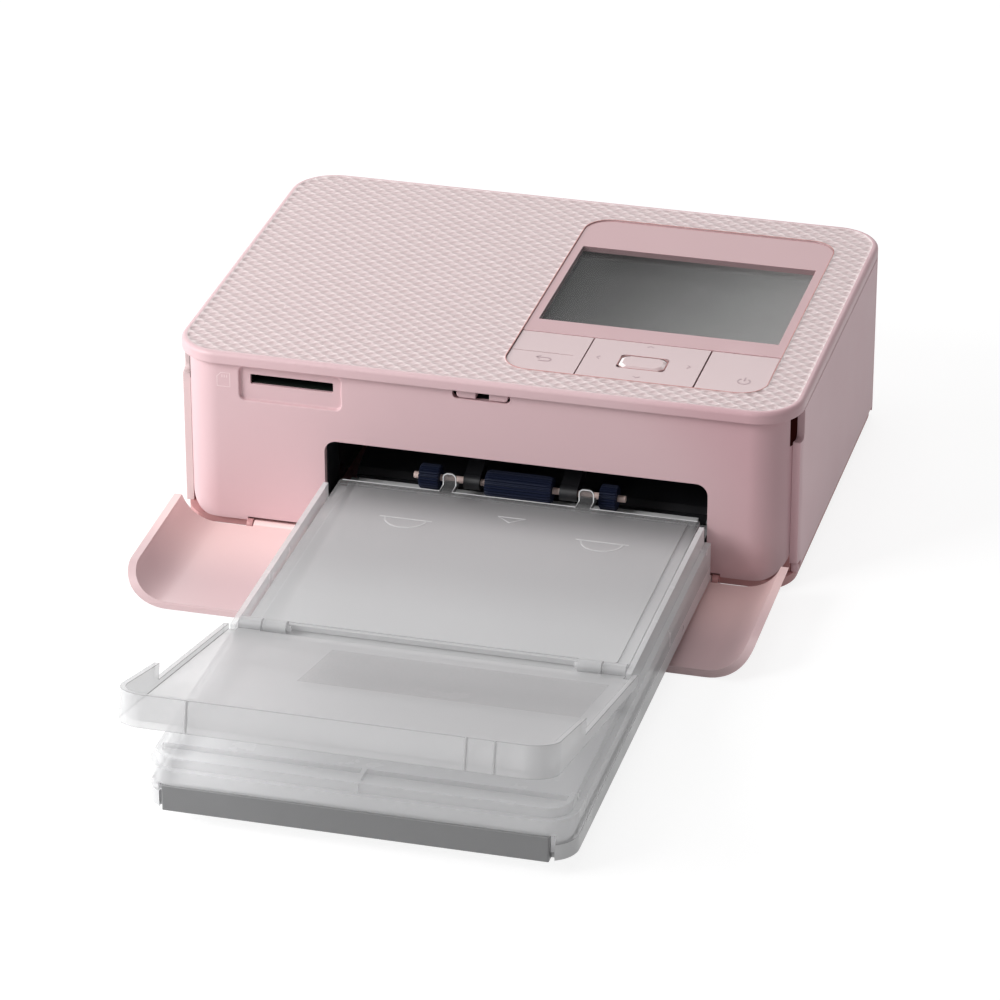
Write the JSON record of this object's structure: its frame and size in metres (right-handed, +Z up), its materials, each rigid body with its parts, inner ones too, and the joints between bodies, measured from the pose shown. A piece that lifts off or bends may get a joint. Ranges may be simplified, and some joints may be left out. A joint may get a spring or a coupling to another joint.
{
  "type": "photo printer",
  "caption": "Compact photo printer: low box with rounded corners, screen and keys on top, front door folded down and a clear paper cassette pushed in with its outer lid open.",
  "frame": {"origin": "centre of the body's footprint, on the table", "axes": "+Z up, the front with its door and paper cassette faces -Y, +X to the right seen from the front"},
  "size_m": [0.1822, 0.317, 0.0576],
  "materials": {
    "shell_plastic": "fine satin, pale pink",
    "base_plastic": "fine satin, darker pink",
    "pane_plastic": "high gloss, pale pink",
    "key_plastic": "gloss over a fine pattern, pale pink",
    "screen_glass": "clear, glossy",
    "screen_dark": "smooth",
    "dark_plastic": "fine satin, black",
    "circuit_board": "lacquered, green",
    "dome_film": "thin film over metal domes",
    "socket_steel": "bright sheet",
    "sheet_steel": "zinc plated sheet",
    "shaft_steel": "ground",
    "screw_steel": "zinc plated",
    "spring_steel": "spring strip",
    "foot_rubber": "matt",
    "tread_rubber": "ribbed, dark blue",
    "roller_rubber": "ground, black",
    "gear_plastic": "natural white",
    "pinion_brass": "cut",
    "motor_steel": "drawn can",
    "sink_aluminium": "extruded",
    "head_ceramic": "glazed",
    "ink_plastic": "smoked grey",
    "ribbon_film": "thin film, violet",
    "spool_plastic": "violet film on a plastic core",
    "lever_plastic": "blue",
    "tray_grey": "smooth, grey",
    "clear_plastic": "clear with a grey tint"
  },
  "bodies": {
    "printer_body": {"bottom_case": "base_plastic", "rubber_feet": "foot_rubber", "case_screws": "screw_steel", "rear_housing": "shell_plastic", "left_side_panel": "shell_plastic", "top_cover": "shell_plastic", "front_panel": "shell_plastic", "door_hinge_pins": "shaft_steel", "catch_housing": "dark_plastic", "ink_door_pins": "shaft_steel", "display_frame": "pane_plastic", "display_window": "screen_glass", "lcd_module": "screen_dark", "key_board": "circuit_board", "key_dome_sheet": "dome_film", "main_board": "circuit_board", "card_socket": "socket_steel", "power_board": "circuit_board", "dc_socket": "dark_plastic", "usb_socket": "socket_steel", "left_side_plate": "sheet_steel", "right_side_plate": "sheet_steel", "upper_guide": "dark_plastic", "lower_guide": "dark_plastic", "rear_guide": "dark_plastic", "pivot_shafts": "shaft_steel", "feed_motor": "motor_steel", "motor_bracket": "sheet_steel"},
    "front_door": {"front_door": "shell_plastic"},
    "left_catch": {"left_catch": "shell_plastic"},
    "right_catch": {"right_catch": "shell_plastic"},
    "ink_door": {"ink_door": "shell_plastic"},
    "paper_cassette": {"tray_base": "tray_grey", "tray_body": "clear_plastic", "lift_spring": "spring_steel"},
    "inner_lid": {"inner_lid": "clear_plastic"},
    "outer_lid": {"outer_lid": "clear_plastic"},
    "lift_plate": {"lift_plate": "tray_grey"},
    "menu_back_key": {"menu_back_key": "key_plastic"},
    "pad_gimbal": {"pad_gimbal": "dark_plastic"},
    "direction_pad": {"direction_pad": "key_plastic"},
    "ok_button": {"ok_button": "key_plastic"},
    "power_key": {"power_key": "key_plastic"},
    "pickup_arm": {"pickup_arm": "dark_plastic"},
    "pickup_roller": {"pickup_shaft": "shaft_steel", "pickup_rollers": "tread_rubber"},
    "platen": {"platen_roller": "roller_rubber"},
    "capstan": {"capstan_roller": "shaft_steel", "capstan_gear": "gear_plastic"},
    "pinch": {"pinch_roller": "roller_rubber"},
    "motor_rotor": {"motor_pinion": "pinion_brass"},
    "take_up_drive": {"take_up_gear": "gear_plastic"},
    "print_head": {"head_bracket": "sheet_steel", "heat_sink": "sink_aluminium", "thermal_head": "head_ceramic"},
    "ink_cassette": {"ink_cassette_shell": "ink_plastic", "ink_ribbon": "ribbon_film"},
    "supply_spool": {"supply_spool": "spool_plastic"},
    "take_up_spool": {"take_up_spool": "spool_plastic"},
    "eject_lever": {"eject_lever": "lever_plastic"}
  },
  "joints": [
    {"name": "front_door_hinge", "type": "hinge", "parent": "printer_body", "child": "front_door", "pos_m": [0, -0.065, 0.003], "axis": [-1, 0, 0], "range_deg": [0, 1.3]},
    {"name": "left_catch_slide", "type": "slide", "parent": "printer_body", "child": "left_catch", "axis": [-1, 0, 0], "range_m": [0, 0.0008], "stiffness_N_per_m": 500},
    {"name": "right_catch_slide", "type": "slide", "parent": "printer_body", "child": "right_catch", "axis": [1, 0, 0], "range_m": [0, 0.0008], "stiffness_N_per_m": 500},
    {"name": "ink_door_hinge", "type": "hinge", "parent": "printer_body", "child": "ink_door", "pos_m": [0.09, 0, 0.0054], "axis": [0, 1, 0], "range_deg": [0, 90]},
    {"name": "cassette_slide", "type": "slide", "parent": "printer_body", "child": "paper_cassette", "axis": [0, -1, 0], "range_m": [0, 0.08]},
    {"name": "inner_lid_hinge", "type": "hinge", "parent": "paper_cassette", "child": "inner_lid", "pos_m": [0, -0.1544, 0.02105], "axis": [1, 0, 0], "range_deg": [0, 5]},
    {"name": "outer_lid_hinge", "type": "hinge", "parent": "paper_cassette", "child": "outer_lid", "pos_m": [0, -0.1544, 0.02105], "axis": [-1, 0, 0], "range_deg": [0, 138]},
    {"name": "lift_plate_hinge", "type": "hinge", "parent": "paper_cassette", "child": "lift_plate", "pos_m": [0, -0.1504, 0.0076], "axis": [1, 0, 0], "range_deg": [-4.2, 0], "stiffness_Nm_per_rad": 0.1, "springref_deg": 5.73, "deforming": ["lift_spring"]},
    {"name": "menu_back_rock", "type": "hinge", "parent": "printer_body", "child": "menu_back_key", "pos_m": [0.0139, -0.04175, 0.055], "axis": [1, 0, 0], "range_deg": [-2.5, 2.5], "stiffness_Nm_per_rad": 0.1},
    {"name": "pad_tilt_front_back", "type": "hinge", "parent": "printer_body", "child": "pad_gimbal", "pos_m": [0.0418, -0.04175, 0.0548], "axis": [1, 0, 0], "range_deg": [-1.5, 1.5], "stiffness_Nm_per_rad": 0.15},
    {"name": "pad_tilt_sideways", "type": "hinge", "parent": "pad_gimbal", "child": "direction_pad", "pos_m": [0.0418, -0.04175, 0.0548], "axis": [0, 1, 0], "range_deg": [-1.5, 1.5], "stiffness_Nm_per_rad": 0.15},
    {"name": "ok_button_press", "type": "slide", "parent": "printer_body", "child": "ok_button", "axis": [0, 0, -1], "range_m": [0, 0.0006], "stiffness_N_per_m": 400},
    {"name": "power_key_press", "type": "slide", "parent": "printer_body", "child": "power_key", "axis": [0, 0, -1], "range_m": [0, 0.0006], "stiffness_N_per_m": 400},
    {"name": "pickup_arm_swing", "type": "hinge", "parent": "printer_body", "child": "pickup_arm", "pos_m": [0, -0.042, 0.026], "axis": [-1, 0, 0], "range_deg": [0, 8]},
    {"name": "pickup_spin", "type": "hinge", "parent": "pickup_arm", "child": "pickup_roller", "pos_m": [0, -0.055, 0.0203], "axis": [1, 0, 0], "continuous": true},
    {"name": "platen_spin", "type": "hinge", "parent": "printer_body", "child": "platen", "pos_m": [0, 0.008, 0.0165], "axis": [1, 0, 0], "continuous": true},
    {"name": "capstan_spin", "type": "hinge", "parent": "printer_body", "child": "capstan", "pos_m": [0, -0.008, 0.02], "axis": [1, 0, 0], "continuous": true},
    {"name": "pinch_spin", "type": "hinge", "parent": "printer_body", "child": "pinch", "pos_m": [0, -0.008, 0.0246], "axis": [1, 0, 0], "continuous": true},
    {"name": "motor_spin", "type": "hinge", "parent": "printer_body", "child": "motor_rotor", "pos_m": [0, -0.023, 0.02], "axis": [1, 0, 0], "continuous": true},
    {"name": "take_up_gear_spin", "type": "hinge", "parent": "printer_body", "child": "take_up_drive", "pos_m": [0, -0.016, 0.03511], "axis": [1, 0, 0], "continuous": true},
    {"name": "print_head_swing", "type": "hinge", "parent": "printer_body", "child": "print_head", "pos_m": [0, 0.053, 0.0422], "axis": [-1, 0, 0], "range_deg": [0, 3]},
    {"name": "ink_cassette_slide", "type": "slide", "parent": "printer_body", "child": "ink_cassette", "axis": [1, 0, 0], "range_m": [0, 0.0025]},
    {"name": "supply_spin", "type": "hinge", "parent": "ink_cassette", "child": "supply_spool", "pos_m": [0, 0.032, 0.03511], "axis": [1, 0, 0], "continuous": true},
    {"name": "take_up_spin", "type": "hinge", "parent": "ink_cassette", "child": "take_up_spool", "pos_m": [0, -0.016, 0.03511], "axis": [1, 0, 0], "continuous": true},
    {"name": "eject_lever_swing", "type": "hinge", "parent": "printer_body", "child": "eject_lever", "pos_m": [0.07335, 0.048, 0.03811], "axis": [-1, 0, 0], "range_deg": [0, 15], "stiffness_Nm_per_rad": 0.01}
  ],
  "couplings": [
    {"joint": "motor_spin", "follows": "capstan_spin", "ratio": -2.5714},
    {"joint": "take_up_gear_spin", "follows": "capstan_spin", "ratio": -1.7143},
    {"joint": "take_up_spin", "follows": "capstan_spin", "ratio": -1.7143}
  ]
}
